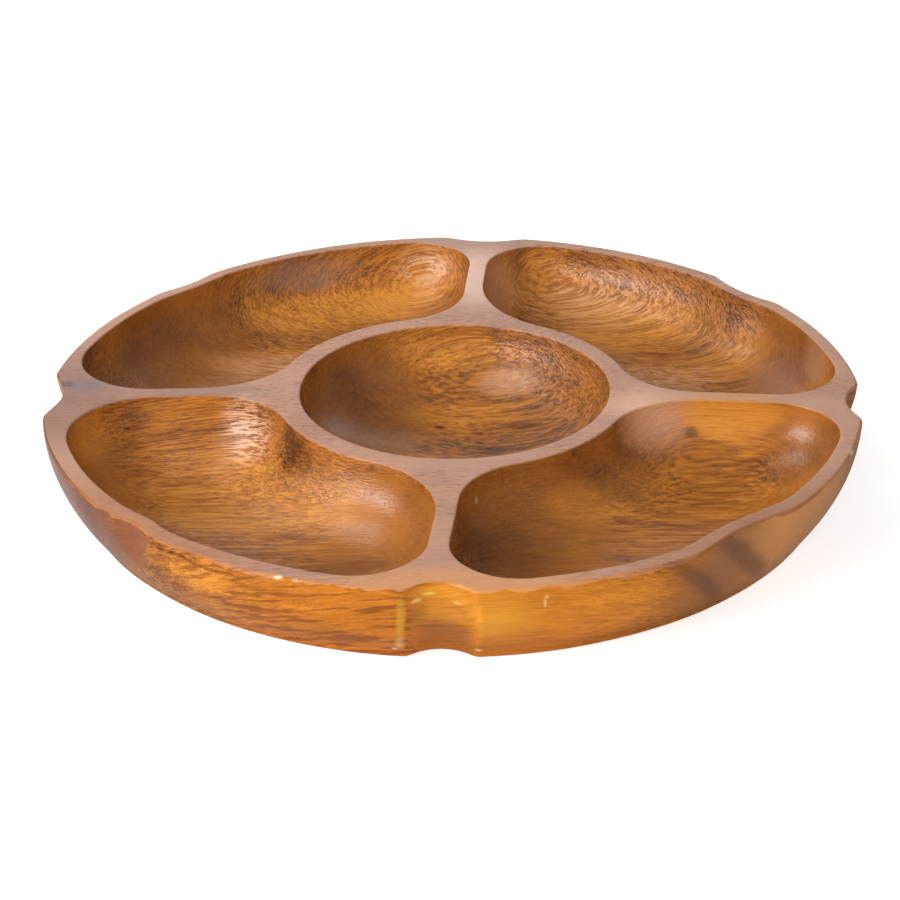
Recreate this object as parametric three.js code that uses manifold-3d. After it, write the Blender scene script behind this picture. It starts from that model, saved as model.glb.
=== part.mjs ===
// Five-section nut dish, carved from a blank of boards glued edge to edge.
// Millimetres, +Z up. The origin is the middle of the underside.
// The grain and the boards run along X, and the front of the dish faces -Y.

import * as THREE from 'three';
import { mergeVertices } from 'three/addons/utils/BufferGeometryUtils.js';
import Module from 'manifold-3d';

// Overall form
const dishDiameter = 305;
const dishHeight = 33;
const baseDiameter = 281; // where the wall would meet the underside
const wallBulge = 3; // how far the wall swells out past a straight taper
const baseEdgeRadius = 2.5;
const rimEdgeRadius = 1.2;

// Wells
const floorThickness = 8.5;
const wellWallStraight = 2; // upright part of each well's wall, just under the rim
const bowlDiameter = 117.5;
const bowlFloorDiameter = 52; // flat of the middle bowl
const bowlShift = 0.8; // the bowl's middle lies this far to the right of the dish's
const ringWidth = 7; // wall between the middle bowl and the wells around it
const ribWidth = 5.8;
const wellOuterCorner = 24;
const backLeftEndCorner = 29.5; // at the left rib
const frontLeftStartCorner = 30; // at the left rib
const frontLeftEndCorner = 25; // at the front rib
const wellInnerCorner = 32; // where a well starts, going anticlockwise
const wellFloorCorner = 3; // corner radius that is left where the wall has run into the floor
const notchWall = 3; // wood kept between a scoop and the well behind it
const ribNotchWall = 5; // the same beside the front and back ribs
const leftNotchWall = 7.4;
const rightNotchWall = 3.5;
const wallLeast = 4.2; // wood kept between a well and the outer wall, all the way down

// Bearings in degrees from +X, anticlockwise seen from above
const fullTurn = 360;
const backRib = 84.6;
const leftRib = 180.5;
const frontRib = 264;
const frontNotchBearing = 268;
const rightRib = 354.4;
const frontRibAside = 7.4; // how far the front rib's line passes beside the dish's middle

// Rim left outside each of the four wells
const backRightRim = 5.4;
const backLeftRim = 4.9;
const frontLeftRim = 6.8;
const frontRightRim = 6.1;

// Inner corner where each well ends
const backRightSweep = 48;
const backLeftSweep = 38;
const frontLeftSweep = 40;
const frontRightSweep = 33;

// The four wells, each between two ribs
const wells = [
  { from: rightRib - fullTurn, to: backRib, rimWidth: backRightRim, sweep: backRightSweep,
    startCorner: wellOuterCorner, endCorner: wellOuterCorner, startAside: 0, endAside: 0 },
  { from: backRib, to: leftRib, rimWidth: backLeftRim, sweep: backLeftSweep,
    startCorner: wellOuterCorner, endCorner: backLeftEndCorner, startAside: 0, endAside: 0 },
  { from: leftRib, to: frontRib, rimWidth: frontLeftRim, sweep: frontLeftSweep,
    startCorner: frontLeftStartCorner, endCorner: frontLeftEndCorner, startAside: 0,
    endAside: frontRibAside },
  { from: frontRib, to: rightRib, rimWidth: frontRightRim, sweep: frontRightSweep,
    startCorner: wellOuterCorner, endCorner: wellOuterCorner, startAside: frontRibAside,
    endAside: 0 },
];

// Scoops in the outer wall: depth at the rim and radius of the gouge
const rightNotchDepth = 4.8;
const rightNotchRadius = 22;
const backRightNotchDepth = 3.9;
const backRightNotchRadius = 60;
const backNotchDepth = 3.1;
const backNotchRadius = 34;
const backLeftNotchDepth = 2.3;
const backLeftNotchRadius = 56;
const leftNotchDepth = 4.9;
const leftNotchRadius = 25.5;
const frontLeftNotchDepth = 3.1;
const frontLeftNotchRadius = 21;
const frontNotchDepth = 5;
const frontNotchRadius = 15;
const frontRightNotchDepth = 4.6;
const frontRightNotchRadius = 50;

// A scoop at a rib leans in towards the base, by this many degrees
const ribNotchLean = 17.5;
const frontNotchLean = 20;
const notches = [
  { bearing: rightRib, depth: rightNotchDepth, radius: rightNotchRadius,
    lean: ribNotchLean, wall: rightNotchWall },
  { bearing: 37.3, depth: backRightNotchDepth, radius: backRightNotchRadius,
    lean: 0, wall: notchWall },
  { bearing: backRib, depth: backNotchDepth, radius: backNotchRadius,
    lean: ribNotchLean, wall: ribNotchWall },
  { bearing: 136, depth: backLeftNotchDepth, radius: backLeftNotchRadius,
    lean: 0, wall: notchWall },
  { bearing: leftRib, depth: leftNotchDepth, radius: leftNotchRadius,
    lean: ribNotchLean, wall: leftNotchWall },
  { bearing: 224, depth: frontLeftNotchDepth, radius: frontLeftNotchRadius,
    lean: 0, wall: notchWall },
  { bearing: frontNotchBearing, depth: frontNotchDepth, radius: frontNotchRadius,
    lean: frontNotchLean, wall: ribNotchWall },
  { bearing: 311, depth: frontRightNotchDepth, radius: frontRightNotchRadius,
    lean: 0, wall: notchWall },
];

// Glue-up
const staveWidth = 43.5;
const glueThickness = 0.25;
const staveNames = [
  'front_rim_stave',
  'front_well_stave',
  'front_bowl_stave',
  'middle_stave',
  'back_bowl_stave',
  'back_well_stave',
  'back_rim_stave',
];
const glueNames = [
  'front_rim_glue_line',
  'front_well_glue_line',
  'front_bowl_glue_line',
  'back_bowl_glue_line',
  'back_well_glue_line',
  'back_rim_glue_line',
];

// Fineness of the round stretches
const turnSegments = 72;
const planArcSegments = 5;
const wellWallSegments = 5;
const bowlWallSegments = 3;
const blankSegments = 2;
const gougeSegments = 36;

// Values that follow from the sizes above
const dishRadius = dishDiameter / 2;
const baseRadius = baseDiameter / 2;
const bowlRadius = bowlDiameter / 2;
const wellInnerRadius = bowlRadius + ringWidth;
const wellDepth = dishHeight - floorThickness;
const wellCurveHeight = wellDepth - wellWallStraight;
const wellWallRun = wellOuterCorner - wellFloorCorner;
const cutterReach = 10; // how far each cutter stands out past the wood it cuts

const wasm = await Module();
wasm.setup();

function toSolid(geometry) {
  const bare = geometry.clone();
  bare.deleteAttribute('normal');
  bare.deleteAttribute('uv');
  const merged = mergeVertices(bare);
  const corners = merged.index.array;
  const triVerts = [];
  for (let i = 0; i < corners.length; i += 3) {
    const [a, b, c] = corners.slice(i, i + 3);
    if (a !== b && b !== c && c !== a) triVerts.push(a, b, c);
  }
  return new wasm.Manifold(new wasm.Mesh({
    numProp: 3,
    vertProperties: new Float32Array(merged.attributes.position.array),
    triVerts: new Uint32Array(triVerts),
  }));
}

function toGeometry(solid) {
  const mesh = solid.getMesh();
  const geometry = new THREE.BufferGeometry();
  geometry.setAttribute('position', new THREE.BufferAttribute(mesh.vertProperties, 3));
  geometry.setIndex(new THREE.BufferAttribute(mesh.triVerts, 1));
  geometry.computeVertexNormals();
  return geometry;
}

function turned(profile, segments) {
  const geometry = new THREE.LatheGeometry(profile.getPoints(segments), turnSegments);
  return geometry.rotateX(Math.PI / 2);
}

function along(bearing) {
  const angle = THREE.MathUtils.degToRad(bearing);
  return new THREE.Vector2(Math.cos(angle), Math.sin(angle));
}

// Draws the outer wall's swelling line, from its foot up to its head, moved in by an inset.
function drawWall(profile, inset) {
  const foot = new THREE.Vector2(baseRadius - inset, baseEdgeRadius);
  const head = new THREE.Vector2(dishRadius - inset, dishHeight - rimEdgeRadius);
  const swell = foot.clone().add(head).multiplyScalar(0.5);
  swell.x += 2 * wallBulge;
  profile.lineTo(foot.x, foot.y);
  profile.quadraticCurveTo(swell.x, swell.y, head.x, head.y);
}

// The turned blank: flat underside, rounded base edge, swelling wall, rounded rim edge, flat top.
function blank() {
  const profile = new THREE.Path();
  profile.moveTo(0, 0);
  profile.lineTo(baseRadius - baseEdgeRadius, 0);
  profile.absarc(baseRadius - baseEdgeRadius, baseEdgeRadius, baseEdgeRadius, -Math.PI / 2, 0, false);
  drawWall(profile, 0);
  profile.absarc(dishRadius - rimEdgeRadius, dishHeight - rimEdgeRadius, rimEdgeRadius,
    0, Math.PI / 2, false);
  profile.lineTo(0, dishHeight);
  return toSolid(turned(profile, blankSegments));
}

// The room that the wells may take up: the blank less the wood kept for its wall, open upwards.
function wellRoom() {
  const top = dishHeight + 2 * cutterReach;
  const profile = new THREE.Path();
  profile.moveTo(0, 0);
  profile.lineTo(baseRadius - wallLeast, 0);
  drawWall(profile, wallLeast);
  profile.lineTo(dishRadius - wallLeast, top);
  profile.lineTo(0, top);
  return toSolid(turned(profile, blankSegments));
}

// The middle bowl: a flat floor that sweeps up in a quarter ellipse to an upright lip.
function bowlCutter() {
  const floorRadius = bowlFloorDiameter / 2;
  const top = dishHeight + cutterReach;
  const profile = new THREE.Path();
  profile.moveTo(0, floorThickness);
  profile.lineTo(floorRadius, floorThickness);
  profile.absellipse(floorRadius, floorThickness + wellCurveHeight, bowlRadius - floorRadius,
    wellCurveHeight, -Math.PI / 2, 0, false);
  profile.lineTo(bowlRadius, top);
  profile.lineTo(0, top);
  return toSolid(turned(profile, bowlWallSegments).translate(bowlShift, 0, 0));
}

// Centre of a corner rounding beside a rib. side is +1 to the left of the rib, seen from above.
// aside is how far to the left of the dish's middle the rib's line passes.
function cornerCentre({ bearing, aside }, side, distance, radius) {
  const out = along(bearing);
  const across = new THREE.Vector2(-out.y, out.x).multiplyScalar(side);
  const offset = ribWidth / 2 + radius + side * aside;
  const reach = Math.sqrt(distance ** 2 - offset ** 2);
  return out.multiplyScalar(reach).addScaledVector(across, offset);
}

// Plan of a well: two outer corners, two inner corners, and arcs about the dish's centre between them.
function wellPlan({ from, to, rimWidth, sweep, startCorner, endCorner, startAside, endAside }) {
  const outerRadius = dishRadius - rimWidth;
  const quarter = Math.PI / 2;
  const start = THREE.MathUtils.degToRad(from);
  const end = THREE.MathUtils.degToRad(to);
  const startRib = { bearing: from, aside: startAside };
  const endRib = { bearing: to, aside: endAside };
  const outerFrom = cornerCentre(startRib, 1, outerRadius - startCorner, startCorner);
  const outerTo = cornerCentre(endRib, -1, outerRadius - endCorner, endCorner);
  const innerTo = cornerCentre(endRib, -1, wellInnerRadius + sweep, sweep);
  const innerFrom = cornerCentre(startRib, 1, wellInnerRadius + wellInnerCorner, wellInnerCorner);
  const plan = new THREE.Shape();
  plan.absarc(outerFrom.x, outerFrom.y, startCorner, start - quarter, outerFrom.angle(), false);
  plan.absarc(0, 0, outerRadius, outerFrom.angle(), outerTo.angle(), false);
  plan.absarc(outerTo.x, outerTo.y, endCorner, outerTo.angle(), end + quarter, false);
  plan.absarc(innerTo.x, innerTo.y, sweep, end + quarter, innerTo.angle() + Math.PI, false);
  plan.absarc(0, 0, wellInnerRadius, innerTo.angle(), innerFrom.angle(), true);
  plan.absarc(innerFrom.x, innerFrom.y, wellInnerCorner, innerFrom.angle() + Math.PI, start - quarter, false);
  return plan;
}

// A well as it is carved: upright at the lip, then a quarter ellipse down to a flat floor.
function wellCutter(well) {
  const geometry = new THREE.ExtrudeGeometry(wellPlan(well), {
    depth: wellWallStraight + cutterReach,
    curveSegments: planArcSegments,
    bevelThickness: wellCurveHeight,
    bevelSize: wellWallRun,
    bevelOffset: -wellWallRun,
    bevelSegments: wellWallSegments,
  });
  return toSolid(geometry.translate(0, 0, floorThickness + wellCurveHeight));
}

// A gouge's cut: a round bar outside the wall that leans in towards the base.
// wood is how much thicker the bar is, to keep that much wood behind the cut.
function gouge({ bearing, depth, radius, lean }, wood) {
  const barLength = 4 * dishHeight;
  const bar = new THREE.CylinderGeometry(radius + wood, radius + wood, barLength, gougeSegments);
  bar.rotateX(Math.PI / 2);
  bar.rotateY(THREE.MathUtils.degToRad(lean));
  bar.translate(dishRadius - depth + radius, 0, dishHeight);
  bar.rotateZ(THREE.MathUtils.degToRad(bearing));
  return toSolid(bar);
}

function carvedDish() {
  const room = wellRoom();
  let dish = blank().subtract(bowlCutter());
  for (const well of wells) {
    let cutter = wellCutter(well).intersect(room);
    for (const notch of notches) cutter = cutter.subtract(gouge(notch, notch.wall));
    dish = dish.subtract(cutter);
  }
  for (const notch of notches) dish = dish.subtract(gouge(notch, 0));
  return dish;
}

// The stretch of the dish between two planes across Y.
function slice(dish, yFrom, yTo) {
  const slab = new THREE.BoxGeometry(2 * dishDiameter, yTo - yFrom, 4 * dishHeight);
  slab.translate(0, (yFrom + yTo) / 2, 0);
  return toGeometry(dish.intersect(toSolid(slab)));
}

const woodColours = [0xb9772f, 0xa9682f, 0x9c5f2c, 0xa4662f, 0x98602e, 0xa2672f, 0x8f5b30];

function woodMaterial(colour) {
  return new THREE.MeshStandardMaterial({ color: colour, roughness: 0.42, metalness: 0 });
}

function glueMaterial() {
  return new THREE.MeshStandardMaterial({ color: 0x5a3a1e, roughness: 0.5, metalness: 0 });
}

function gluedDish() {
  const dish = carvedDish();
  const group = new THREE.Group();
  const halfFilm = glueThickness / 2;
  const firstSeam = -glueNames.length * staveWidth / 2 + staveWidth / 2;
  staveNames.forEach((name, i) => {
    const yFrom = i === 0 ? -dishDiameter : firstSeam + (i - 1) * staveWidth + halfFilm;
    const yTo = i === glueNames.length ? dishDiameter : firstSeam + i * staveWidth - halfFilm;
    const stave = new THREE.Mesh(slice(dish, yFrom, yTo), woodMaterial(woodColours[i]));
    stave.name = name;
    group.add(stave);
  });
  glueNames.forEach((name, i) => {
    const seam = firstSeam + i * staveWidth;
    const film = new THREE.Mesh(slice(dish, seam - halfFilm, seam + halfFilm), glueMaterial());
    film.name = name;
    group.add(film);
  });
  return group;
}

export default gluedDish();
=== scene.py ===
import math
import bmesh
import bpy
from mathutils import Matrix, Vector, noise


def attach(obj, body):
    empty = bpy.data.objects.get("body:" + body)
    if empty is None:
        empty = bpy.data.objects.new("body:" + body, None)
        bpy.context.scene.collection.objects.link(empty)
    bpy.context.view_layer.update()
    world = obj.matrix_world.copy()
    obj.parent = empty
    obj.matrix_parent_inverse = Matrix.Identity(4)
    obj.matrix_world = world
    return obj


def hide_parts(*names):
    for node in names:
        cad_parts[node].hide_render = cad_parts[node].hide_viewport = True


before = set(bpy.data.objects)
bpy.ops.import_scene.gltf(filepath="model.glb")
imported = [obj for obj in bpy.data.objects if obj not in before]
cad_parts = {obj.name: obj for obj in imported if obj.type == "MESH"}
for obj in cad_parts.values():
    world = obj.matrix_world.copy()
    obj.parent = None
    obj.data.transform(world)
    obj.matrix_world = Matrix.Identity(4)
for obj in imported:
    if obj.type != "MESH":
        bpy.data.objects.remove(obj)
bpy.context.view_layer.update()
scene = bpy.context.scene
scene.view_settings.view_transform = "Standard"
mm = 0.001

# The turned blank
dish = {
    "radius": 152.5 * mm,
    "height": 33 * mm,
    "baseRadius": 140.5 * mm,
    "wallBulge": 3 * mm,
    "baseEdge": 2.5 * mm,
    "rimEdge": 1.1 * mm,
    "flatBand": 1.2 * mm,      # flat ring kept beside every rounded edge
    "sanding": 0.3 * mm,       # how far the sanded wall lies inside the turned one
    "sandingWave": 0.6,        # and the share of it that comes and goes
    "sandingPace": 45,         # waves per metre
    "turnSteps": 960,
    "wallSteps": 14,
    "edgeSteps": 5,
}

# Ribs and the thumb scoops in the outer wall, bearings in degrees from +X
ribs = {"right": 354.4, "back": 84.6, "left": 180.5, "front": 264}
ribLean = 17.5
scoops = [
    {"bearing": ribs["right"], "depth": 4.8 * mm, "radius": 22 * mm, "lean": ribLean,
     "wall": 3.5 * mm, "edge": 3 * mm},
    {"bearing": 37.3, "depth": 3.9 * mm, "radius": 60 * mm, "lean": 0, "wall": 4 * mm, "edge": 0.9 * mm},
    {"bearing": ribs["back"], "depth": 3.1 * mm, "radius": 34 * mm, "lean": ribLean,
     "wall": 5 * mm, "edge": 2.5 * mm},
    {"bearing": 136, "depth": 2.3 * mm, "radius": 56 * mm, "lean": 0, "wall": 4 * mm, "edge": 0.9 * mm},
    {"bearing": ribs["left"], "depth": 4.9 * mm, "radius": 25.5 * mm, "lean": ribLean,
     "wall": 7.4 * mm, "edge": 5 * mm},
    {"bearing": 224, "depth": 3.1 * mm, "radius": 21 * mm, "lean": 0, "wall": 4 * mm, "edge": 0.9 * mm},
    {"bearing": 268, "depth": 5 * mm, "radius": 15 * mm, "lean": 20, "wall": 5 * mm, "edge": 2.2 * mm},
    {"bearing": 311, "depth": 4.6 * mm, "radius": 50 * mm, "lean": 0, "wall": 4 * mm, "edge": 6 * mm,
     "lipBlend": 10 * mm},
]

# The middle bowl and the wells, each between two ribs
carving = {
    "bowlRadius": 58.75 * mm,
    "bowlShift": 0.8 * mm,     # the bowl sits a little to the right
    "ringWidth": 7 * mm,
    "ribWidth": 5.8 * mm,
    "innerCorner": 32 * mm,
    "depth": 24.5 * mm,
    "lipBlend": 4 * mm,        # how softly a lip bends round the wood behind a scoop
    "lipEdge": 0.8 * mm,
    "spineEnd": 22.6,          # degrees from a rib to the end of the deepest line
    "roundness": 2.4,          # 2 is a plain ellipse, more is a fuller bowl
    "planStep": 1.5 * mm,
    "wallRings": 26,
    "floorShare": 0.08,        # share of the plan left for the flat of the floor
    "lipWave": 0.35 * mm,
    "lipPace": 30,             # waves per metre
    "lipLayers": (0.5, 4.5),   # where the noise is read for the waves along X and Y
    "floorWave": 0.3 * mm,
    "floorPace": 35,
    "weld": 0.01 * mm,         # closes an outline where its last stroke meets the first
}
frontAside = 7.4 * mm          # how far the front rib's line passes beside the middle of the dish
wells = [
    {"from": ribs["right"] - 360, "to": ribs["back"], "rim": 5.4 * mm, "sweep": 48 * mm,
     "corners": (24 * mm, 24 * mm), "aside": (0, 0)},
    {"from": ribs["back"], "to": ribs["left"], "rim": 4.9 * mm, "sweep": 38 * mm,
     "corners": (24 * mm, 29.5 * mm), "aside": (0, 0)},
    {"from": ribs["left"], "to": ribs["front"], "rim": 6.8 * mm, "sweep": 40 * mm,
     "corners": (30 * mm, 25 * mm), "aside": (0, frontAside)},
    {"from": ribs["front"], "to": ribs["right"], "rim": 6.1 * mm, "sweep": 33 * mm,
     "corners": (24 * mm, 24 * mm), "aside": (frontAside, 0)},
]


def softMin(a, b, blend):
    near = max(blend - abs(a - b), 0) / blend
    return min(a, b) - near * near * blend / 4


def onBearing(angle, reach=1):
    return Vector((math.cos(angle) * reach, math.sin(angle) * reach, 0))


# Distance from the dish's axis to the hollow of a scoop, along one bearing
def scoopReach(scoop, angle, z, wood):
    lean = math.radians(scoop["lean"])
    radius = scoop["radius"] + wood
    away = dish["radius"] - scoop["depth"] + scoop["radius"]
    away -= radius * (1 / math.cos(lean) - 1) + (dish["height"] - z) * math.tan(lean)
    turn = angle - math.radians(scoop["bearing"])
    aside = away * math.sin(turn)
    if math.cos(turn) < 0 or abs(aside) > radius:
        return 2 * dish["radius"]
    return away * math.cos(turn) - math.sqrt(radius ** 2 - aside ** 2)


def scoopedRadius(angle, z, radius):
    for scoop in scoops:
        radius = softMin(radius, scoopReach(scoop, angle, z, 0), scoop["edge"])
    return radius


# Where a lip may run, with wood left behind every scoop
def lipRadius(angle, radius):
    for scoop in scoops:
        blend = scoop.get("lipBlend", carving["lipBlend"])
        radius = softMin(radius, scoopReach(scoop, angle, dish["height"], scoop["wall"]), blend)
    return radius


# Radius of the outer wall at a height, before the scoops
def wallRadius(z):
    low = dish["baseEdge"]
    share = (z - low) / (dish["height"] - dish["rimEdge"] - low)
    share = min(max(share, 0), 1)
    swell = 4 * dish["wallBulge"] * share * (1 - share)
    return dish["baseRadius"] + (dish["radius"] - dish["baseRadius"]) * share + swell


# A pen that draws a chain of edges: each stroke hands back the vertex it ends on
def drawLine(bm, pen, target, pieces):
    start = pen.co.copy()
    for i in range(1, pieces + 1):
        pen = bmesh.ops.extrude_vert_indiv(bm, verts=[pen])["verts"][0]
        pen.co = start.lerp(Vector(target), i / pieces)
    return pen


def drawArc(bm, pen, centre, axis, sweep, pieces):
    made = bmesh.ops.spin(bm, geom=[pen], cent=centre, axis=axis, angle=sweep, steps=pieces)
    return [g for g in made["geom_last"] if isinstance(g, bmesh.types.BMVert)][0]


# The wall is drawn as a profile, spun, and pushed in at the scoops
def turnWall(bm):
    top = dish["height"]
    rim = dish["rimEdge"]
    foot = dish["baseEdge"]
    head = dish["radius"] - rim
    base = dish["baseRadius"] - foot
    across = (0, 1, 0)
    pen = bm.verts.new((head - dish["flatBand"], 0, top))
    pen = drawLine(bm, pen, (head, 0, top), 1)
    pen = drawArc(bm, pen, (head, 0, top - rim), across, math.pi / 2, dish["edgeSteps"])
    pen = drawLine(bm, pen, (dish["baseRadius"], 0, foot), dish["wallSteps"])
    pen = drawArc(bm, pen, (base, 0, foot), across, math.pi / 2, dish["edgeSteps"])
    drawLine(bm, pen, (base - dish["flatBand"], 0, 0), 1)
    for v in bm.verts:
        if foot < v.co.z < top - rim:
            v.co.x = wallRadius(v.co.z)
    bmesh.ops.spin(bm, geom=bm.verts[:] + bm.edges[:], cent=(0, 0, 0), axis=(0, 0, 1),
                   angle=2 * math.pi, steps=dish["turnSteps"], use_merge=True)
    for v in bm.verts:
        angle = math.atan2(v.co.y, v.co.x)
        full = wallRadius(v.co.z)
        inset = full - v.co.xy.length
        wave = dish["sanding"] * (1 + dish["sandingWave"] * noise.noise(v.co * dish["sandingPace"]))
        radius = scoopedRadius(angle, v.co.z, full - wave) - inset
        v.co = onBearing(angle, radius) + Vector((0, 0, v.co.z))


# Centre of the rounding beside a rib, side +1 to the left of the rib seen from above
def cornerCentre(bearing, aside, side, distance, radius):
    angle = math.radians(bearing)
    offset = carving["ribWidth"] / 2 + radius + side * aside
    reach = math.sqrt(distance ** 2 - offset ** 2)
    return onBearing(angle, reach) + onBearing(angle + side * math.pi / 2, offset)


def turnTo(fromAngle, toAngle):
    return (toAngle - fromAngle) % (2 * math.pi)


def bearingOf(point):
    return math.atan2(point.y, point.x)


def strokes(length):
    return max(3, math.ceil(abs(length) / carving["planStep"]))


# Outline of a well's lip: outer corner, outer arc, outer corner and rib, then the sweep,
# the arc round the bowl, the inner corner and the other rib
def drawWell(bm, well):
    up = (0, 0, 1)
    middle = Vector((0, 0, 0))
    quarter = math.pi / 2
    start = math.radians(well["from"])
    end = math.radians(well["to"])
    startCorner, endCorner = well["corners"]
    startAside, endAside = well["aside"]
    innerCorner = carving["innerCorner"]
    outer = dish["radius"] - well["rim"]
    inner = carving["bowlRadius"] + carving["ringWidth"]
    outerFrom = cornerCentre(well["from"], startAside, 1, outer - startCorner, startCorner)
    outerTo = cornerCentre(well["to"], endAside, -1, outer - endCorner, endCorner)
    sweep = well["sweep"]
    innerTo = cornerCentre(well["to"], endAside, -1, inner + sweep, sweep)
    innerFrom = cornerCentre(well["from"], startAside, 1, inner + innerCorner, innerCorner)
    first = bm.verts.new(outerFrom + onBearing(start - quarter, startCorner))
    ribFoot = innerTo + onBearing(end + quarter, sweep)
    pen = first
    arcs = [
        (outerFrom, turnTo(start - quarter, bearingOf(outerFrom)), startCorner),
        (middle, turnTo(bearingOf(outerFrom), bearingOf(outerTo)), outer),
        (outerTo, turnTo(bearingOf(outerTo), end + quarter), endCorner),
        None,
        (innerTo, turnTo(end + quarter, bearingOf(innerTo) + math.pi), sweep),
        (middle, -turnTo(bearingOf(innerFrom), bearingOf(innerTo)), inner),
        (innerFrom, turnTo(bearingOf(innerFrom) + math.pi, start - quarter), innerCorner),
    ]
    for arc in arcs:
        if arc is None:
            pen = drawLine(bm, pen, ribFoot, strokes((pen.co - ribFoot).length))
        else:
            centre, turn, radius = arc
            pen = drawArc(bm, pen, centre, up, turn, strokes(turn * radius))
    drawLine(bm, pen, first.co, strokes((pen.co - first.co).length))
    bmesh.ops.remove_doubles(bm, verts=bm.verts, dist=carving["weld"])


# The nearest place on a well's deepest line
def wellSpine(well, point):
    outer = dish["radius"] - well["rim"]
    inner = carving["bowlRadius"] + carving["ringWidth"]
    startAside, endAside = well["aside"]
    start = math.radians(well["from"]) + startAside / outer
    end = math.radians(well["to"]) + endAside / outer
    middle = (start + end) / 2
    span = (end - start) / 2 - math.radians(carving["spineEnd"])
    turn = (bearingOf(point) - middle + math.pi) % (2 * math.pi) - math.pi
    return onBearing(middle + min(max(turn, -span), span), (outer + inner) / 2)


# Sinks a hollow inside a drawn lip: a flat band, a rounded lip, then rings that close in on the spine
def sinkHollow(bm, spineAt):
    lip = bm.verts.layers.float_vector.new("lip")
    out = bm.verts.layers.float_vector.new("out")
    spine = bm.verts.layers.float_vector.new("spine")
    top = dish["height"]
    edge = carving["lipEdge"]
    for v in bm.verts:
        angle = bearingOf(v.co)
        radius = lipRadius(angle, v.co.length)
        waves = [noise.noise(v.co * carving["lipPace"] + Vector((0, 0, layer))) * carving["lipWave"]
                 for layer in carving["lipLayers"]]
        v[lip] = onBearing(angle, radius) + Vector((*waves, 0))
        v[spine] = spineAt(v.co)
    for v in bm.verts:
        before, after = [e.other_vert(v) for e in v.link_edges]
        along = before[lip] - after[lip]
        side = Vector((along.y, -along.x, 0)).normalized()
        v[out] = side if side.dot(v[lip] - v[spine]) > 0 else -side
        v.co = v[lip] + v[out] * dish["flatBand"] + Vector((0, 0, top))
    rings = [(0, 0, 1)]
    for i in range(1, dish["edgeSteps"] + 1):
        turn = math.pi / 2 * i / dish["edgeSteps"]
        rings.append((-edge * math.sin(turn), edge * (1 - math.cos(turn)), 1))
    power = 2 / carving["roundness"]
    lastTurn = math.acos(carving["floorShare"] ** (1 / power))
    for i in range(1, carving["wallRings"] + 1):
        turn = lastTurn * i / carving["wallRings"]
        drop = edge + (carving["depth"] - edge) * math.sin(turn) ** power
        share = math.cos(turn) ** power
        rings.append((-edge * share, drop, share))
    edges = bm.edges[:]
    for offset, drop, share in rings:
        made = bmesh.ops.extrude_edge_only(bm, edges=edges)["geom"]
        verts = [g for g in made if isinstance(g, bmesh.types.BMVert)]
        fresh = set(verts)
        edges = [g for g in made if isinstance(g, bmesh.types.BMEdge) and fresh.issuperset(g.verts)]
        for v in verts:
            place = v[spine] + (v[lip] - v[spine]) * share + v[out] * offset
            wave = carving["floorWave"] * noise.noise(Vector((place.x, place.y, drop)) * carving["floorPace"])
            v.co = place + Vector((0, 0, top - drop + wave * (1 - share)))
    bmesh.ops.triangle_fill(bm, edges=edges, use_beauty=True)
    for layer in (lip, out, spine):
        bm.verts.layers.float_vector.remove(layer)


def addTo(whole, part):
    mesh = bpy.data.meshes.new("carving")
    part.to_mesh(mesh)
    whole.from_mesh(mesh)
    bpy.data.meshes.remove(mesh)
    part.free()


def carveDish():
    whole = bmesh.new()
    turnWall(whole)
    for well in wells:
        part = bmesh.new()
        drawWell(part, well)
        sinkHollow(part, lambda point, well=well: wellSpine(well, point))
        addTo(whole, part)
    part = bmesh.new()
    middle = Vector((carving["bowlShift"], 0, 0))
    pen = part.verts.new(middle + Vector((carving["bowlRadius"], 0, 0)))
    drawArc(part, pen, middle, (0, 0, 1), 2 * math.pi, strokes(2 * math.pi * carving["bowlRadius"]))
    bmesh.ops.remove_doubles(part, verts=part.verts, dist=carving["weld"])
    sinkHollow(part, lambda point: middle)
    addTo(whole, part)
    bare = [e for e in whole.edges if e.is_boundary]
    topEdges = [e for e in bare if min(v.co.z for v in e.verts) > dish["height"] / 2]
    baseEdges = [e for e in bare if max(v.co.z for v in e.verts) < dish["height"] / 2]
    bmesh.ops.triangle_fill(whole, edges=topEdges, use_beauty=True, normal=(0, 0, 1))
    bmesh.ops.holes_fill(whole, edges=baseEdges, sides=0)
    bmesh.ops.recalc_face_normals(whole, faces=whole.faces)
    whole.normal_update()
    return whole


whole = carveDish()
loose = [e for e in whole.edges if not e.is_manifold]
print("carved dish:", len(whole.faces), "faces,", len(loose), "open edges")

# The glued blank: seven boards along the grain and the films between them
glueUp = {
    "boardWidth": 43.5 * mm,
    "film": 0.25 * mm,
    "snap": 0.001 * mm,        # points this near to a saw cut are taken as on it
    "boardTone": 0.5,
    "filmTone": 0.42,
    "boards": ["front_rim", "front_well", "front_bowl", "middle", "back_bowl", "back_well", "back_rim"],
    "films": ["front_rim", "front_well", "front_bowl", "back_bowl", "back_well", "back_rim"],
}


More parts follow.
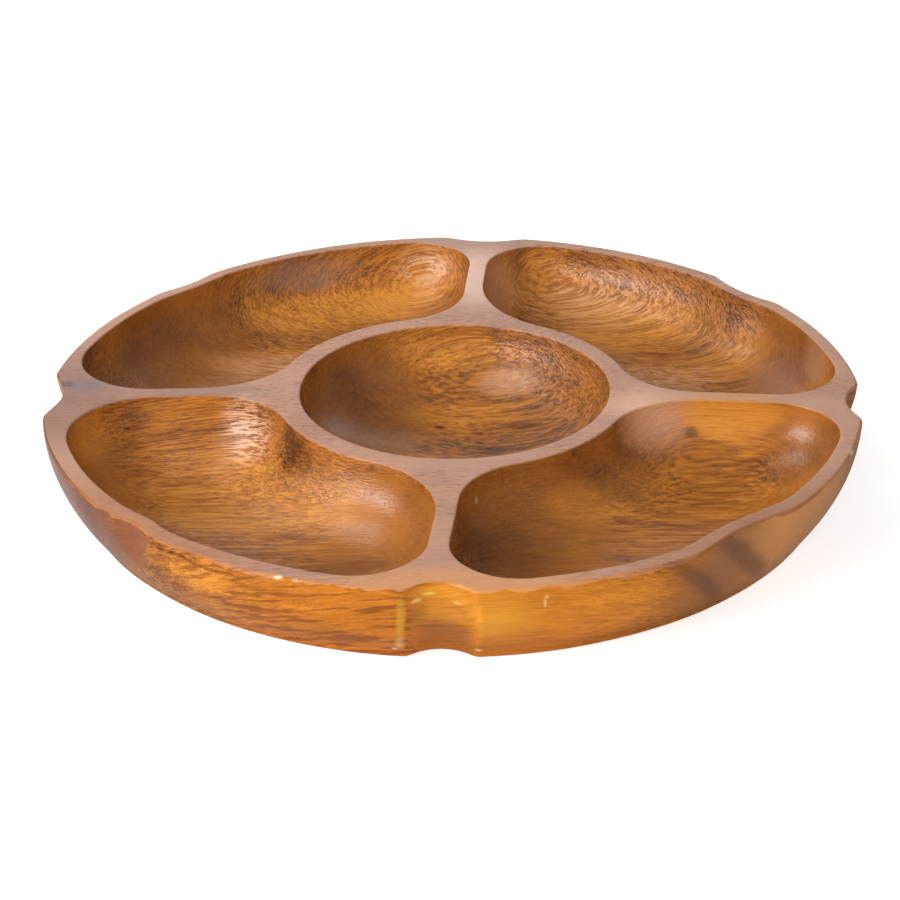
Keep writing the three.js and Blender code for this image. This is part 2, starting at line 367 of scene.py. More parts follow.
# One board or film: the carved dish between two planes, with the dish's own rounding kept on its skin
def sliceDish(name, yFrom, yTo):
    cut = whole.copy()
    skin = cut.verts.layers.float_vector.new("skin")
    for v in cut.verts:
        v[skin] = v.normal
    for y, side in ((yFrom, 1), (yTo, -1)):
        bmesh.ops.bisect_plane(cut, geom=cut.verts[:] + cut.edges[:] + cut.faces[:], dist=glueUp["snap"],
                               plane_co=(0, y, 0), plane_no=(0, side, 0), clear_inner=True)
        rim = [e for e in cut.edges if e.is_boundary]
        for face in bmesh.ops.holes_fill(cut, edges=rim, sides=0)["faces"]:
            face.material_index = 1
    bmesh.ops.recalc_face_normals(cut, faces=cut.faces)
    cut.normal_update()
    normals = []
    for face in cut.faces:
        face.smooth = True
        for corner in face.loops:
            normals.append(face.normal.copy() if face.material_index else corner.vert[skin].normalized())
        face.material_index = 0
    cut.verts.layers.float_vector.remove(skin)
    mesh = bpy.data.meshes.new(name)
    cut.to_mesh(mesh)
    cut.free()
    mesh.normals_split_custom_set(normals)
    piece = bpy.data.objects.new(name, mesh)
    scene.collection.objects.link(piece)
    return piece


def addNode(tree, kind, settings=None, inputs=None):
    made = tree.nodes.new("ShaderNode" + kind)
    for key, value in (settings or {}).items():
        setattr(made, key, value)
    for key, value in (inputs or {}).items():
        if isinstance(value, bpy.types.NodeSocket):
            tree.links.new(value, made.inputs[key])
        else:
            made.inputs[key].default_value = value
    return made


# The wood's figure, in metres. The grain runs along X and climbs to the right, and the growth
# layers bend round the heart of the tree, which lies above the dish and a little to the front.
figure = {
    "heart": (-34 * mm, 195 * mm),
    "climb": (0.02, 0.15),     # of the layers along X, at the front and at the back
    "climbFrom": (-35 * mm, 15 * mm),
    "bend": 4 * mm,            # slow wander of the grain
    "bendSpan": (130 * mm, 60 * mm, 50 * mm),
    "ripple": 0.35 * mm,       # quick wander, as in curly grain
    "rippleSpan": (13 * mm, 6 * mm, 6 * mm),
    "zoneSpan": (110 * mm, 45 * mm, 30 * mm),
    "streakSpan": (90 * mm, 6 * mm, 5 * mm),
    "layerSpan": (70 * mm, 6 * mm, 1.8 * mm),
    "lineSpan": (22 * mm, 2.0 * mm, 0.5 * mm),
    "vesselSpan": (4 * mm, 0.62 * mm, 0.55 * mm),
    "fibreSpan": (5 * mm, 0.4 * mm, 0.3 * mm),
    "poreZoneSpan": (60 * mm, 26 * mm, 20 * mm),
    "markWanderSpan": (40 * mm, 14 * mm, 12 * mm),
    "wallStreakSpan": (24 * mm, 9 * mm, 1.5 * mm),
    "sandingSpan": (13 * mm, 13 * mm, 40 * mm),
    "roughness": 0.55,         # of every noise
    "contrast": (0.3, 0.7),    # the part of a noise that is spread from -1 to 1
    "zoneTone": 0.09,
    "streakTone": 0.07,
    "layerTone": 0.07,
    "lineTone": 0.18,
    "fibreTone": 0.07,
    "markWander": 3 * mm,
}
woodTones = [
    (0.0, (0.070, 0.024, 0.008)),
    (0.22, (0.160, 0.052, 0.012)),
    (0.45, (0.345, 0.118, 0.020)),
    (0.7, (0.540, 0.192, 0.026)),
    (1.0, (0.740, 0.295, 0.040)),
]
vessels = {
    "tint": (0.40, 0.32, 0.27),
    "zones": (0.4, 0.6),
    "limits": (0.67, 0.55),    # above which the noise is a vessel, in sparse and in dense zones
    "edge": 0.08,
    "depth": (0.62, 0.45),     # in the hollows and on the flat tops
    "roughness": 0.2,
}
finish = {
    # colour of the sanded tops: paler from the sanding, with a painted sheen of the backdrop's reflection
    # mixed in
    "sandedAndSheenTone": (0.59, 0.305, 0.200),
    "sandedAndSheenShare": 0.72,
    "sandedDrop": (0.5 * mm, 0.1 * mm),   # below the top, where the sanding starts and is full
    "sandedOver": 6 * mm,      # how far it runs over the outer edge, and from which noise on
    "sandedOverFrom": 0.42,
    "wallFacing": (20 * mm, 60 * mm),     # what looks away from the axis is the outer wall
    "wallRadius": (120 * mm, 130 * mm),
    "wallStreaks": (0.5, 0.62),
    "linedFrom": (-0.5, 0.4),  # which grain lines carry a painted sheen that follows the grain
    "oil": (0.5, 0.08),        # in the hollows and on the outer wall
    "sheen": (0.27, 0.42),     # roughness in the hollows and on the flat tops
    "fibreRelief": 0.3,
    "lineRelief": 0.5,
    "bump": 0.5,
    "bumpDepth": 0.22 * mm,
    "markEdge": 0.7,           # how softly a mark ends
    "plainEdge": 0.5,
    "plainLines": 0.3,         # how much of the grain a plain place keeps
}


def maths(tree, operation, a, b):
    return addNode(tree, "Math", {"operation": operation}, {0: a, 1: b}).outputs[0]


def between(tree, value, low, high, toLow=0.0, toHigh=1.0):
    limits = {"Value": value, "From Min": low, "From Max": high, "To Min": toLow, "To Max": toHigh}
    return addNode(tree, "MapRange", {"interpolation_type": "SMOOTHSTEP"}, limits).outputs[0]


def mixColour(tree, share, a, b, blend="MIX"):
    made = addNode(tree, "Mix", {"data_type": "RGBA", "blend_type": blend}, {0: share})
    for socket, colour in ((6, a), (7, b)):
        if isinstance(colour, bpy.types.NodeSocket):
            tree.links.new(colour, made.inputs[socket])
        else:
            made.inputs[socket].default_value = (*colour, 1)
    return made.outputs[2]


# Noise stretched to a span in each direction, as a value around 0.5
def stretched(tree, place, span, detail, colour=False):
    scale = tuple(1 / s for s in span)
    moved = addNode(tree, "Mapping", {}, {"Vector": place, "Scale": scale}).outputs[0]
    settings = {"Vector": moved, "Scale": 1, "Detail": detail, "Roughness": figure["roughness"]}
    return addNode(tree, "TexNoise", {}, settings).outputs["Color" if colour else 0]


# Moves a place by noise, sideways to the grain
def wander(tree, place, span, reach):
    push = stretched(tree, place, span, 1, colour=True)
    push = addNode(tree, "VectorMath", {"operation": "SUBTRACT"}, {0: push, 1: (0.5, 0.5, 0.5)}).outputs[0]
    sideways = (0, 2 * reach, 2 * reach)
    push = addNode(tree, "VectorMath", {"operation": "MULTIPLY"}, {0: push, 1: sideways}).outputs[0]
    return addNode(tree, "VectorMath", {"operation": "ADD"}, {0: place, 1: push}).outputs[0]


# How far a place lies inside a mark: 1 in its middle, 0 from its edge on
def inMark(tree, place, mark):
    limits = {
        "Vector": place,
        "Location": Vector(mark["at"]) * mm,
        "Rotation": (0, math.radians(mark.get("tilt", 0)), math.radians(mark.get("turn", 0))),
        "Scale": Vector(mark["reach"]) * mm,
    }
    moved = addNode(tree, "Mapping", {"vector_type": "TEXTURE"}, limits).outputs[0]
    ball = addNode(tree, "TexGradient", {"gradient_type": "SPHERICAL"}, {0: moved})
    return between(tree, ball.outputs[1], 0, mark.get("soft", finish["markEdge"]))


def woodMaterial(name, shades, stainsAndPaintedLight, plain, middleTone):
    material = bpy.data.materials.new(name)
    material.use_nodes = True
    tree = material.node_tree
    shader = tree.nodes["Principled BSDF"]
    place = addNode(tree, "TexCoord").outputs["Object"]
    x, y, z = addNode(tree, "SeparateXYZ", {}, {0: place}).outputs

    # grain coordinates: along the grain, across it, and outwards from the heart
    heartY, heartZ = figure["heart"]
    toHeart = addNode(tree, "CombineXYZ", {}, {1: maths(tree, "SUBTRACT", y, heartY),
                                               2: maths(tree, "SUBTRACT", z, heartZ)}).outputs[0]
    ring = addNode(tree, "VectorMath", {"operation": "LENGTH"}, {0: toHeart}).outputs["Value"]
    climb = between(tree, y, *figure["climbFrom"], *figure["climb"])
    ring = maths(tree, "ADD", ring, maths(tree, "MULTIPLY", x, climb))
    grain = addNode(tree, "CombineXYZ", {}, {0: x, 1: y, 2: ring}).outputs[0]
    grain = wander(tree, grain, figure["bendSpan"], figure["bend"])
    grain = wander(tree, grain, figure["rippleSpan"], figure["ripple"])

    def spread(span, detail):
        return between(tree, stretched(tree, grain, figure[span], detail), *figure["contrast"], -1, 1)

    # plain places quieten the grain and the oil
    lively = 1.0
    gloss = 1.0
    for mark in plain:
        within = inMark(tree, place, {"soft": finish["plainEdge"], **mark})
        kept = between(tree, within, 0, 1, 1, mark.get("lines", finish["plainLines"]))
        lively = maths(tree, "MULTIPLY", kept, lively)
        if "gloss" in mark:
            gloss = maths(tree, "MULTIPLY", between(tree, within, 0, 1, 1, mark["gloss"]), gloss)
    tone = maths(tree, "MULTIPLY_ADD", spread("zoneSpan", 1), figure["zoneTone"])
    tone.node.inputs[2].default_value = middleTone
    streaks = maths(tree, "MULTIPLY", spread("streakSpan", 2), lively)
    layers, lines, fibres = [maths(tree, "MULTIPLY", spread(span, 1), lively)
                             for span in ("layerSpan", "lineSpan", "fibreSpan")]
    grainTones = {"streakTone": streaks, "layerTone": layers, "lineTone": lines, "fibreTone": fibres}
    for key, value in grainTones.items():
        tone = maths(tree, "ADD", tone, maths(tree, "MULTIPLY", value, figure[key]))

    # the outer wall faces away from the dish's axis
    across = addNode(tree, "CombineXYZ", {}, {0: x, 1: y}).outputs[0]
    facing = addNode(tree, "NewGeometry").outputs["Normal"]
    outward = addNode(tree, "VectorMath", {"operation": "DOT_PRODUCT"}, {0: across, 1: facing})
    outward = between(tree, outward.outputs["Value"], *finish["wallFacing"])
    far = addNode(tree, "VectorMath", {"operation": "LENGTH"}, {0: across})
    far = between(tree, far.outputs["Value"], *finish["wallRadius"])
    onWall = maths(tree, "MULTIPLY", outward, far)

    markPlace = wander(tree, place, figure["markWanderSpan"], figure["markWander"])
    for shade in shades:
        share = inMark(tree, markPlace, shade)
        if shade.get("wall"):
            share = maths(tree, "MULTIPLY", share, onWall)
        tone = maths(tree, "ADD", tone, maths(tree, "MULTIPLY", share, shade["tone"]))
    ramp = addNode(tree, "ValToRGB", {}, {0: tone})
    stops = ramp.color_ramp.elements
    while len(stops) < len(woodTones):
        stops.new(0.5)
    for stop, (position, colour) in zip(stops, woodTones):
        stop.position = position
        stop.color = (*colour, 1)
    colour = ramp.outputs[0]

    # vessels: thin dark hollows along the grain, dense in some places and sparse in others
    poreZones = stretched(tree, grain, figure["poreZoneSpan"], 1)
    limit = between(tree, poreZones, *vessels["zones"], *vessels["limits"])
    pores = maths(tree, "SUBTRACT", stretched(tree, grain, figure["vesselSpan"], 1), limit)
    pores = maths(tree, "MULTIPLY", between(tree, pores, 0.0, vessels["edge"]), lively)

    # flat sanded tops are paler and duller than the oiled hollows, and run over the outer edge here and
    # there; part of the paler colour is a painted sheen, the backdrop's reflection seen at a grazing angle
    over = maths(tree, "SUBTRACT", stretched(tree, place, figure["sandingSpan"], 3), finish["sandedOverFrom"])
    over = maths(tree, "MULTIPLY", maths(tree, "MULTIPLY", over, onWall), finish["sandedOver"])
    dullFrom, dullTo = [dish["height"] - drop for drop in finish["sandedDrop"]]
    sanded = between(tree, maths(tree, "ADD", z, over), dullFrom, dullTo)
    sandedAndSheenShare = maths(tree, "MULTIPLY", sanded, finish["sandedAndSheenShare"])
    colour = mixColour(tree, sandedAndSheenShare, colour, finish["sandedAndSheenTone"])
    depth = maths(tree, "MULTIPLY", pores, between(tree, sanded, 0, 1, *vessels["depth"]))
    colour = mixColour(tree, depth, colour, vessels["tint"], "MULTIPLY")
    wallStreaks = stretched(tree, grain, figure["wallStreakSpan"], 2)
    masks = {
        "wall": onWall,
        "streaked": between(tree, wallStreaks, *finish["wallStreaks"]),
        "top": sanded,
        "lined": between(tree, lines, *finish["linedFrom"]),
    }
    for colourMark in stainsAndPaintedLight:
        share = maths(tree, "MULTIPLY", inMark(tree, markPlace, colourMark), colourMark["share"])
        for key, mask in masks.items():
            if colourMark.get(key):
                share = maths(tree, "MULTIPLY", share, mask)
        colour = mixColour(tree, share, colour, colourMark["colour"])
    tree.links.new(colour, shader.inputs["Base Color"])

    # the outer wall was left with less oil than the hollows
    oil = maths(tree, "MULTIPLY", between(tree, onWall, 0, 1, *finish["oil"]), gloss)
    tree.links.new(oil, shader.inputs["Specular IOR Level"])
    sheen = between(tree, sanded, 0, 1, *finish["sheen"])
    sheen = maths(tree, "ADD", sheen, maths(tree, "MULTIPLY", pores, vessels["roughness"]))
    tree.links.new(sheen, shader.inputs["Roughness"])
    relief = maths(tree, "ADD", maths(tree, "MULTIPLY", fibres, finish["fibreRelief"]),
                   maths(tree, "MULTIPLY", lines, finish["lineRelief"]))
    height = maths(tree, "SUBTRACT", relief, pores)
    bump = addNode(tree, "Bump", {}, {"Height": height, "Strength": finish["bump"],
                                      "Distance": finish["bumpDepth"]})
    tree.links.new(bump.outputs[0], shader.inputs["Normal"])
    return material


# Darker and paler places, places and reaches in mm: tone in the wood, and painted light and shade where
# marked below
shades = [
    # back left well
    {"at": (-96, 96, 15), "reach": (32, 26, 20), "tone": -0.13},
    {"at": (-118, 70, 24), "reach": (24, 34, 18), "tone": -0.12},
    {"at": (-45, 122, 12), "reach": (54, 20, 16), "turn": 14, "tone": 0.46},
    # brighter at the back left well's right end, partly paler wood and partly a painted highlight
    {"at": (-12, 138, 20), "reach": (26, 22, 18), "tone": 0.24},
    {"at": (-74, 76, 10), "reach": (32, 20, 14), "tone": 0.22},
    # back right well
    # painted light on the back right well's left end, a wall that faces away from the lamps
    {"at": (18, 121, 22), "reach": (15, 30, 24), "tone": 0.46},
    {"at": (40, 130, 16), "reach": (30, 24, 16), "tone": 0.20},
    {"at": (72, 103, 12), "reach": (46, 30, 16), "tone": 0.36},
    {"at": (112, 75, 15), "reach": (9, 22, 14), "turn": 20, "tone": 0.12},
    {"at": (118, 81, 29), "reach": (26, 22, 13), "turn": -35, "tone": -0.15},
    {"at": (134, 52, 23), "reach": (17, 30, 17), "tone": -0.22},
    {"at": (85, 58, 10), "reach": (32, 22, 14), "tone": 0.24},
    # middle bowl
    # painted shade: darker on the bowl's left wall, which faces away from the lamps
    {"at": (-47, 20, 19), "reach": (24, 42, 18), "tone": -0.13},
    {"at": (-24, 20, 11), "reach": (24, 30, 12), "tone": -0.08},
    {"at": (-4, 56, 25), "reach": (34, 14, 16), "tone": 0.22},
    {"at": (8, -4, 8.5), "reach": (26, 10, 8), "tone": -0.08},
    {"at": (4, 22, 9), "reach": (30, 16, 9), "tone": 0.24},
    {"at": (42, -8, 14), "reach": (14, 6, 8), "turn": 30, "tone": -0.14},
    # front left well
    # painted light on the front left well's left end, which faces away from the lamps
    {"at": (-137, -18, 24), "reach": (15, 24, 17), "tone": 0.32},
    {"at": (-102, -4, 27), "reach": (38, 10, 12), "tone": 0.14},
    {"at": (-125, -5, 25), "reach": (15, 7, 7), "turn": -12, "soft": 1, "tone": -0.26},
    {"at": (-58, -33, 26), "reach": (18, 16, 15), "soft": 1, "tone": -0.50},
    {"at": (-86, -46, 11), "reach": (52, 38, 15), "tone": 0.27},
    # painted highlight on the floor of the front left well
    {"at": (-44, -62, 15), "reach": (24, 17, 11), "tone": 0.20},
    {"at": (-35, -92, 9), "reach": (30, 6, 5), "tone": -0.10},
    {"at": (-12, -78, 22), "reach": (12, 24, 14), "tone": -0.12},
    # front right well
    {"at": (6, -92, 18), "reach": (13, 30, 18), "tone": -0.12},
    {"at": (24, -84, 11), "reach": (22, 18, 12), "tone": -0.10},
    {"at": (48, -60, 15), "reach": (30, 14, 11), "tone": 0.29},
    {"at": (103, -13, 27), "reach": (26, 9, 9), "soft": 0.5, "tone": 0.34},
    {"at": (106, -20, 17), "reach": (26, 8, 8), "tone": 0.12},
    {"at": (88, -46, 10), "reach": (52, 30, 14), "tone": 0.15},
    {"at": (138, -34, 24), "reach": (13, 18, 14), "tone": -0.20},
    {"at": (122, -29, 16), "reach": (18, 18, 12), "tone": -0.16},
    # painted shade on the front right well's inner wall, under the ring
    {"at": (60, -32, 25), "reach": (17, 13, 12), "tone": -0.18},
    {"at": (42, -46, 25), "reach": (20, 14, 11), "tone": -0.14},
    # outer wall
    # painted shade: darker towards the foot of the front wall
    {"at": (-20, -140, 4), "reach": (130, 34, 9), "tone": -0.12, "wall": True},
    {"at": (-42, -143, 20), "reach": (26, 14, 16), "tone": -0.20, "wall": True},
    {"at": (-42, -142, 9), "reach": (26, 14, 9), "tone": -0.16, "wall": True},
    # painted light: the front right wall brighter, where the lamps light it less
    {"at": (48, -140, 20), "reach": (38, 18, 18), "tone": 0.40, "wall": True},
    {"at": (-24, -150, 24), "reach": (9, 6, 4), "tone": -0.26, "wall": True},
    {"at": (-27, -149, 19), "reach": (10, 6, 3), "tone": -0.20, "wall": True},
    # painted light: brighter at the top of the front scoop
    {"at": (-5, -144, 28), "reach": (14, 7, 8), "tone": 0.20, "wall": True},
    {"at": (-84, -122, 25), "reach": (24, 22, 10), "tone": 0.30, "wall": True},
    {"at": (-62, -137, 27), "reach": (22, 12, 1.8), "tone": -0.30, "wall": True},
    {"at": (-82, -126, 29.6), "reach": (26, 8, 1.3), "turn": -31, "tone": -0.55, "wall": True},
    {"at": (-68, -134, 16), "reach": (20, 10, 1.5), "turn": -26, "tone": -0.34, "wall": True},
    {"at": (-58, -139, 8), "reach": (26, 10, 2), "turn": -22, "tone": -0.30, "wall": True},
    {"at": (-28, -149, 30), "reach": (12, 8, 1.2), "tone": -0.34, "wall": True},
    {"at": (-36, -145, 12), "reach": (20, 12, 1.8), "tone": -0.26, "wall": True},
    {"at": (-74, -130, 18), "reach": (26, 14, 2.2), "tone": -0.24, "wall": True},
    # painted glint on the front left wall
    {"at": (-46, -144, 22), "reach": (20, 12, 1.8), "tone": 0.26, "wall": True},
    {"at": (34, -147, 13), "reach": (30, 12, 2.2), "tone": -0.16, "wall": True},
    {"at": (62, -137, 18), "reach": (28, 14, 2.4), "tone": -0.16, "wall": True},
    {"at": (52, -142, 25), "reach": (26, 14, 2.4), "tone": 0.20, "wall": True},
    # painted shadow in the lower part of the front scoop
    {"at": (-4, -136, 7), "reach": (18, 10, 9), "tone": -0.18, "wall": True},
]

# Stains, knots and chips, where the wood has another colour, and painted highlights, sheen and shade, as
# marked below
stainsAndPaintedLight = [
    # outer wall, from the front to the left and the right
    {"at": (-5, -150, 19), "reach": (112, 70, 60),
     "colour": (0.80, 0.255, 0.020), "share": 0.6, "wall": True},
    {"at": (-50, -140, 18), "reach": (74, 42, 34), "soft": 0.4,
     "colour": (0.26, 0.075, 0.014), "share": 0.8, "wall": True, "streaked": True},
    {"at": (70, -136, 18), "reach": (66, 42, 34), "soft": 0.4,
     "colour": (0.34, 0.110, 0.016), "share": 0.28, "wall": True, "streaked": True},
    # painted light: brighter yellow at the top of the front scoop
    {"at": (-5, -144, 28), "reach": (15, 8, 8), "colour": (0.86, 0.37, 0.030), "share": 0.6, "wall": True},
    {"at": (-142, -58, 16), "reach": (34, 66, 40),
     "colour": (0.19, 0.076, 0.048), "share": 0.95, "soft": 0.5, "wall": True},
    {"at": (-124, -86, 22), "reach": (18, 20, 20),
     "colour": (0.13, 0.045, 0.022), "share": 0.7, "wall": True},
    {"at": (-118, -94, 20), "reach": (13, 13, 22),
     "colour": (0.21, 0.082, 0.045), "share": 0.9, "wall": True},
    {"at": (-109, -102, 27), "reach": (10, 10, 16), "soft": 0.5,
     "colour": (0.26, 0.090, 0.040), "share": 0.9, "wall": True},
    {"at": (-99, -110, 22), "reach": (4, 4, 12),
     "colour": (0.10, 0.036, 0.020), "share": 0.6, "wall": True},
    {"at": (124, -92, 20), "reach": (48, 50, 40), "soft": 0.6,
     "colour": (0.67, 0.300, 0.110), "share": 0.8, "wall": True},
    {"at": (89, -118, 21), "reach": (32, 26, 26), "turn": 38, "soft": 1,
     "colour": (0.33, 0.145, 0.075), "share": 0.75, "wall": True},
    # two dark diagonal bands across the front right wall, running from the rim towards the foot
    {"at": (81, -126, 21), "reach": (40, 14, 6), "turn": 35, "tilt": 47, "soft": 0.8,
     "colour": (0.13, 0.055, 0.030), "share": 0.6, "wall": True},
    {"at": (97, -111, 22), "reach": (40, 14, 6), "turn": 42, "tilt": 47, "soft": 0.8,
     "colour": (0.14, 0.062, 0.038), "share": 0.6, "wall": True},
    # front right well: a painted highlight on the pale inner end, an amber lip and a knot
    {"at": (70, -14, 27), "reach": (27, 20, 20), "soft": 1, "colour": (0.96, 0.54, 0.34), "share": 0.75},
    {"at": (104, -12, 28), "reach": (22, 11, 12), "soft": 0.3,
     "colour": (0.72, 0.27, 0.030), "share": 0.55},
    {"at": (88.5, -14.5, 21.5), "reach": (4.6, 2.6, 3.4), "soft": 0.7, "turn": 20, "tilt": 30,
     "colour": (0.15, 0.075, 0.018), "share": 0.7},
    # middle bowl
    {"at": (-5, 15, 9), "reach": (3.4, 1.8, 3), "colour": (0.06, 0.020, 0.010), "share": 0.8},
    {"at": (-32, 41, 19), "reach": (16, 10, 9), "colour": (0.33, 0.135, 0.070), "share": 0.2},
    # painted highlight in the back right of the middle bowl
    {"at": (23, 40, 16), "reach": (19, 12, 9), "colour": (0.66, 0.340, 0.180), "share": 0.55},
    # back wells
    {"at": (-64, 131, 25), "reach": (34, 12, 10), "turn": 22, "colour": (0.40, 0.225, 0.140), "share": 0.5},
    {"at": (142, 36, 26), "reach": (10, 16, 12), "colour": (0.42, 0.240, 0.160), "share": 0.4},
    {"at": (128, 45, 15), "reach": (16, 17, 13), "colour": (0.30, 0.125, 0.080), "share": 0.45},
    # flat tops, and the dark left end
    {"at": (-150, -8, 33), "reach": (54, 56, 6),
     "colour": (0.27, 0.115, 0.070), "share": 0.75, "top": True},
    {"at": (-139, 6, 33), "reach": (13, 9, 5), "soft": 0.8, "colour": (0.200, 0.135, 0.140), "share": 0.75},
    {"at": (-145.5, 8, 31), "reach": (4, 5, 5), "colour": (0.11, 0.055, 0.045), "share": 0.8},
    {"at": (-123, -4.5, 27), "reach": (13, 4.5, 5), "soft": 0.6,
     "colour": (0.11, 0.048, 0.030), "share": 0.6},
    {"at": (-104, -104, 33), "reach": (66, 50, 5), "turn": -45,
     "colour": (0.46, 0.172, 0.060), "share": 0.8, "top": True},
    {"at": (100, -108, 33), "reach": (66, 50, 5), "turn": 45,
     "colour": (0.38, 0.145, 0.050), "share": 0.8, "top": True},
    {"at": (0, -147, 33), "reach": (62, 16, 5), "colour": (0.74, 0.310, 0.100), "share": 0.8, "top": True},
    {"at": (105, -10, 33), "reach": (44, 16, 4), "colour": (0.56, 0.270, 0.130), "share": 0.5, "top": True},
    # painted reflection: the back rib paler and whiter where it catches the backdrop
    {"at": (11, 108, 33), "reach": (20, 42, 4), "colour": (0.96, 0.640, 0.510), "share": 0.75, "top": True},
    {"at": (14, 150, 33), "reach": (46, 14, 4), "colour": (0.45, 0.270, 0.195), "share": 0.8, "top": True},
    {"at": (-94, 0, 33), "reach": (34, 10, 4), "colour": (0.28, 0.145, 0.098), "share": 0.65, "top": True},
    # painted sheen and highlights in the wells, some broken up by the grain lines
    {"at": (60, 118, 14), "reach": (46, 24, 17),
     "colour": (0.74, 0.380, 0.180), "share": 0.5, "lined": True},
    {"at": (20, 119, 24), "reach": (14, 26, 16), "colour": (0.66, 0.350, 0.230), "share": 0.5},
    {"at": (-12, 141, 24), "reach": (16, 14, 12),
     "colour": (0.70, 0.430, 0.280), "share": 0.55, "lined": True},
    {"at": (-74, 76, 10), "reach": (30, 16, 12),
     "colour": (0.68, 0.370, 0.230), "share": 0.5, "lined": True},
    {"at": (85, 58, 10), "reach": (30, 18, 12),
     "colour": (0.74, 0.410, 0.250), "share": 0.5, "lined": True},
    {"at": (-77, -11, 22), "reach": (13, 22, 16),
     "colour": (0.92, 0.580, 0.400), "share": 0.6, "lined": True},
    # chips along the front
    {"at": (-57, -141, 32.4), "reach": (2.6, 1.2, 1.0), "colour": (0.90, 0.72, 0.50), "share": 0.9},
    {"at": (-50.6, -143.3, 32.3), "reach": (2.6, 1.2, 1.0), "colour": (0.90, 0.72, 0.50), "share": 0.8},
    {"at": (29, -149, 28), "reach": (0.8, 2, 2.8), "colour": (0.90, 0.55, 0.18), "share": 0.8},
    {"at": (29.6, -149, 30.2), "reach": (1.0, 2, 0.8), "colour": (0.90, 0.55, 0.18), "share": 0.7},
    {"at": (-20, -141.5, 5.6), "reach": (1.6, 2, 1.2), "colour": (0.90, 0.72, 0.50), "share": 0.9},
    # front scoop
    # painted highlight along the front scoop's left ridge
    {"at": (-17.5, -148, 20), "reach": (2.4, 6, 15),
     "colour": (0.93, 0.530, 0.060), "share": 0.55, "wall": True},
    {"at": (-18, -145, 8), "reach": (3, 6, 6), "colour": (0.92, 0.620, 0.280), "share": 0.5, "wall": True},
    {"at": (12, -149, 21), "reach": (24, 10, 19), "soft": 1,
     "colour": (0.92, 0.440, 0.045), "share": 0.55, "wall": True},
    # painted light on the middle of the front scoop
    {"at": (-4, -141, 18), "reach": (13, 8, 7), "colour": (0.93, 0.440, 0.065), "share": 0.4, "wall": True},
    {"at": (-12, -144, 19), "reach": (5, 7, 15),
     "colour": (0.46, 0.200, 0.030), "share": 0.55, "wall": True},
    # painted shadow in the lower part of the front scoop
    {"at": (-4, -140, 8), "reach": (14, 8, 11),
     "colour": (0.38, 0.150, 0.045), "share": 0.75, "wall": True},
    # painted glints near the top of the front scoop
    {"at": (-8, -146, 27.6), "reach": (3.4, 3, 1.6),
     "colour": (1.0, 0.700, 0.140), "share": 0.8, "wall": True},
    {"at": (-12, -146, 25.6), "reach": (3, 3, 1.4),
     "colour": (0.95, 0.640, 0.200), "share": 0.7, "wall": True},
    {"at": (0, -146, 24.8), "reach": (3.4, 3, 1.1),
     "colour": (0.95, 0.720, 0.340), "share": 0.7, "wall": True},
    # chips at the foot, the right end and the front rib
    {"at": (7.5, -140.5, 4.8), "reach": (2, 2, 1.2), "colour": (0.86, 0.62, 0.36), "share": 0.8},
    {"at": (141.5, -56, 32.6), "reach": (2, 4.5, 1.6), "colour": (0.78, 0.56, 0.28), "share": 0.9},
    {"at": (8.4, -75.4, 24.6), "reach": (1.5, 2.6, 2.6), "colour": (0.70, 0.50, 0.34), "share": 0.9},
]

# Plain places, where the grain shows fewer lines or the oil is duller
plainPlaces = [
    {"at": (-32, -24, 15), "reach": (34, 30, 20), "lines": 0.9, "gloss": 0.15},
    {"at": (-57, -33, 26), "reach": (16, 16, 16), "lines": 0.9, "gloss": 0.4},
    {"at": (56, -42, 20), "reach": (30, 22, 18), "lines": 0.5},
    {"at": (88, -120, 20), "reach": (26, 26, 26)},
    {"at": (-108, 76, 20), "reach": (46, 46, 34)},
    {"at": (-34, 22, 16), "reach": (36, 50, 28)},
    {"at": (134, 46, 20), "reach": (26, 46, 28)},
    {"at": (-24, -84, 16), "reach": (32, 40, 26)},
    {"at": (26, -76, 18), "reach": (46, 44, 28)},
    {"at": (128, -84, 18), "reach": (40, 60, 40)},
    {"at": (132, -30, 24), "reach": (26, 32, 22)},
    {"at": (-140, -60, 16), "reach": (34, 66, 40)},
]


# The marks that touch a stretch of the dish
def near(marks, yFrom, yTo):
    return [m for m in marks if yFrom - max(m["reach"]) * mm < m["at"][1] * mm < yTo + max(m["reach"]) * mm]


def addWood(piece, name, yFrom, yTo, tone):
    marks = [near(kind, yFrom, yTo) for kind in (shades, stainsAndPaintedLight, plainPlaces)]
    piece.data.materials.append(woodMaterial(name, *marks, tone))


firstSeam = -(len(glueUp["films"]) - 1) / 2 * glueUp["boardWidth"]
farOut = 2 * dish["radius"]
for i, board in enumerate(glueUp["boards"]):
    yTo = firstSeam + i * glueUp["boardWidth"] - glueUp["film"] / 2
    yFrom = yTo - glueUp["boardWidth"] + glueUp["film"]
    if i == 0:
        yFrom = -farOut
    if i == len(glueUp["films"]):
        yTo = farOut
    piece = sliceDish(board + "_board", yFrom, yTo)
    addWood(piece, board + "Wood", yFrom, yTo, glueUp["boardTone"])
    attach(piece, "root")
    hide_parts(board + "_stave")
for i, film in enumerate(glueUp["films"]):
    seam = firstSeam + i * glueUp["boardWidth"]
    piece = sliceDish(film + "_film", seam - glueUp["film"] / 2, seam + glueUp["film"] / 2)
    addWood(piece, film + "Glue", seam, seam, glueUp["filmTone"])
    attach(piece, "root")
    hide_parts(film + "_glue_line")
print("boards and films:", len(glueUp["boards"]) + len(glueUp["films"]))

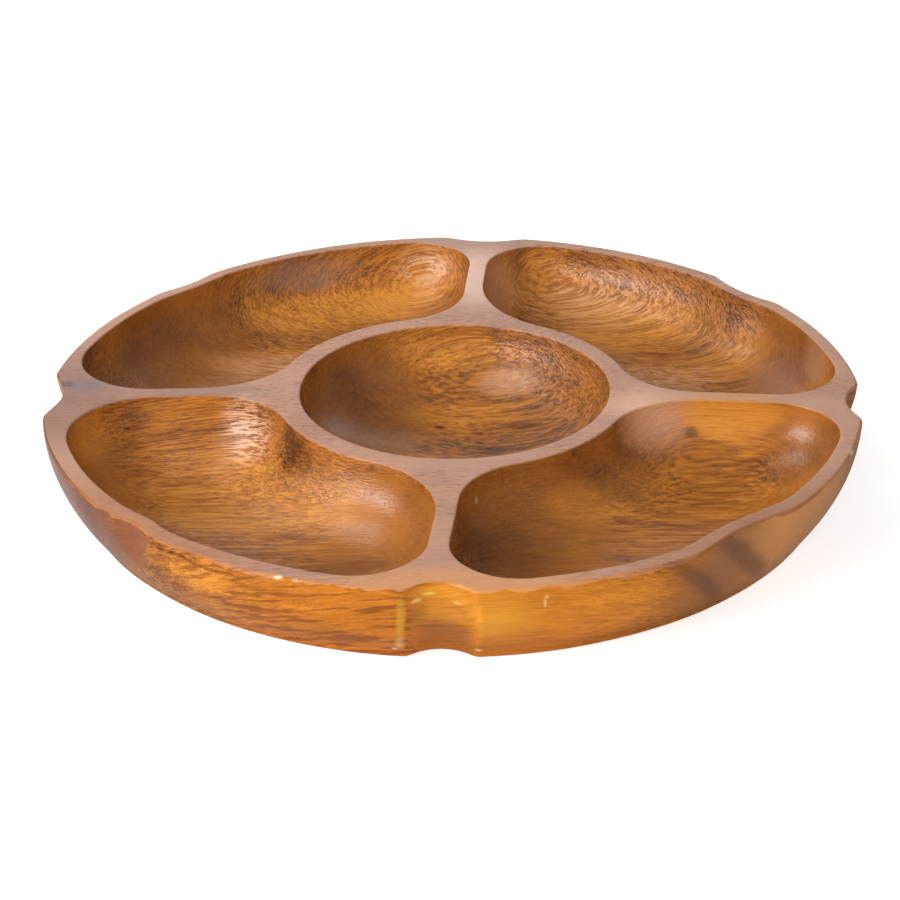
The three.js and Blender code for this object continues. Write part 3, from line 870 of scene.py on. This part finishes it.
# Camera at the height and distance that the rim and the middle bowl show
view = {
    "place": Vector((0, -826.8, 425)) * mm,
    "aim": Vector((-1.17, -51.6, 33)) * mm,
    "roll": -0.66,
    "lens": 97.57,
    "sensor": 36,
}
cameraData = bpy.data.cameras.new("camera")
cameraData.lens = view["lens"]
cameraData.sensor_width = view["sensor"]
camera = bpy.data.objects.new("camera", cameraData)
scene.collection.objects.link(camera)
back = (view["place"] - view["aim"]).normalized()
right = Vector((0, 0, 1)).cross(back).normalized()
facing = Matrix((right, back.cross(right), back)).transposed()
roll = Matrix.Rotation(math.radians(view["roll"]), 3, "Z")
camera.matrix_world = Matrix.Translation(view["place"]) @ (facing @ roll).to_4x4()
scene.camera = camera

# Floor: pale, white to the camera, and it keeps the shadow
paper = {
    "halfSize": 3,
    "drop": 0.05 * mm,         # just under the dish
    "grey": 0.86,
    "glow": 0.68,
}
floorMesh = bpy.data.meshes.new("floor")
bm = bmesh.new()
bmesh.ops.create_grid(bm, x_segments=1, y_segments=1, size=paper["halfSize"])
bmesh.ops.translate(bm, verts=bm.verts, vec=(0, 0, -paper["drop"]))
bm.to_mesh(floorMesh)
bm.free()
floor = bpy.data.objects.new("floor", floorMesh)
scene.collection.objects.link(floor)
floorMaterial = bpy.data.materials.new("paleFloor")
floorMaterial.use_nodes = True
tree = floorMaterial.node_tree
tree.nodes.clear()
path = addNode(tree, "LightPath")
glow = maths(tree, "MULTIPLY", path.outputs["Is Camera Ray"], paper["glow"])
grey = addNode(tree, "BsdfDiffuse", {}, {"Color": (paper["grey"], paper["grey"], paper["grey"], 1)})
light = addNode(tree, "Emission", {}, {"Strength": glow})
both = addNode(tree, "AddShader", {}, {0: grey.outputs[0], 1: light.outputs[0]})
addNode(tree, "OutputMaterial", {}, {"Surface": both.outputs[0]})
floorMesh.materials.append(floorMaterial)

# Soft studio light
skyStrength = 0.2
world = bpy.data.worlds.new("studio")
scene.world = world
world.use_nodes = True
sky = world.node_tree.nodes["Background"]
sky.inputs["Color"].default_value = (1, 1, 1, 1)
sky.inputs["Strength"].default_value = skyStrength
lamps = [
    {"name": "leftBox", "place": (-1.02, -0.56, 0.66), "size": (0.9, 0.6), "watts": 15},
    {"name": "frontFill", "place": (0.35, -1.6, 0.6), "size": (1.6, 0.9), "watts": 12, "gloss": False},
    {"name": "backWall", "place": (0, 1.5, 0.5), "size": (1.4, 0.6), "watts": 5},
    {"name": "topBox", "place": (-0.52, 0.36, 1.19), "size": (0.5, 0.5), "watts": 3.5},
]
for lamp in lamps:
    data = bpy.data.lights.new(lamp["name"], "AREA")
    data.shape = "RECTANGLE"
    data.size, data.size_y = lamp["size"]
    data.energy = lamp["watts"]
    obj = bpy.data.objects.new(lamp["name"], data)
    obj.location = lamp["place"]
    obj.rotation_euler = Vector(lamp["place"]).to_track_quat("Z", "Y").to_euler()
    obj.visible_glossy = lamp.get("gloss", True)
    scene.collection.objects.link(obj)
print("camera, floor and", len(lamps), "lamps")
